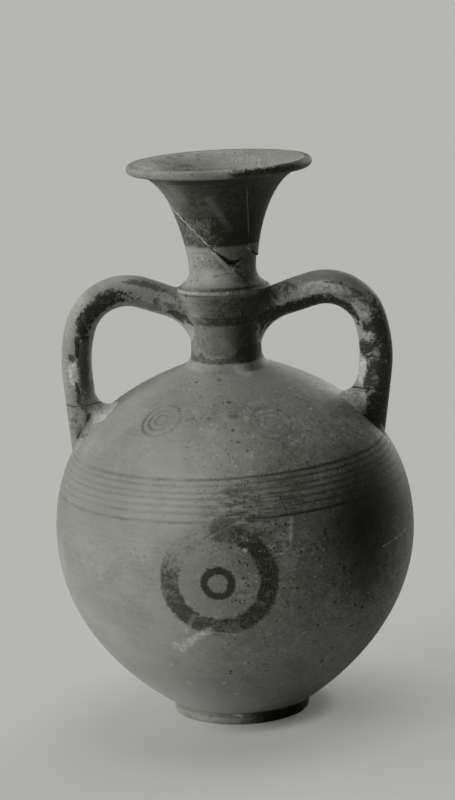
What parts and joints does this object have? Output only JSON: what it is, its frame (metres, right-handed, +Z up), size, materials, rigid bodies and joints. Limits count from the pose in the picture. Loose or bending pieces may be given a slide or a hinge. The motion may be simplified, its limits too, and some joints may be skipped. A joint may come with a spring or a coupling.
{
  "type": "two-handled jar",
  "caption": "Round-bodied fired clay jar on a ring foot, with a ridged neck, flaring mouth and arched side handles, for holding and pouring liquids.",
  "frame": {"origin": "centre of the standing face under the foot ring", "axes": "+Z up along the axis of the body and neck, +X through the right handle, -Y towards the viewer"},
  "size_m": [0.16, 0.16, 0.25],
  "materials": {
    "clay": "burnished slip with painted rings and bands, worn",
    "painted_clay": "burnished slip with worn dark paint",
    "handle_clay": "smoothed clay with flaking dark paint",
    "luting": "smeared clay, matt",
    "filler": "pale mending plaster, matt"
  },
  "bodies": {
    "root": {"body": "clay", "foot_ring": "clay", "foot_luting": "luting", "neck": "painted_clay", "neck_luting": "luting", "mouth_left_sherd": "painted_clay", "mouth_right_sherd": "painted_clay", "mouth_mend": "filler", "left_handle": "handle_clay", "left_handle_root": "handle_clay", "left_handle_mend": "filler", "left_upper_luting": "luting", "left_lower_luting": "luting", "right_handle": "handle_clay", "right_handle_root": "handle_clay", "right_handle_mend": "filler", "right_upper_luting": "luting", "right_lower_luting": "luting"}
  },
  "joints": []
}
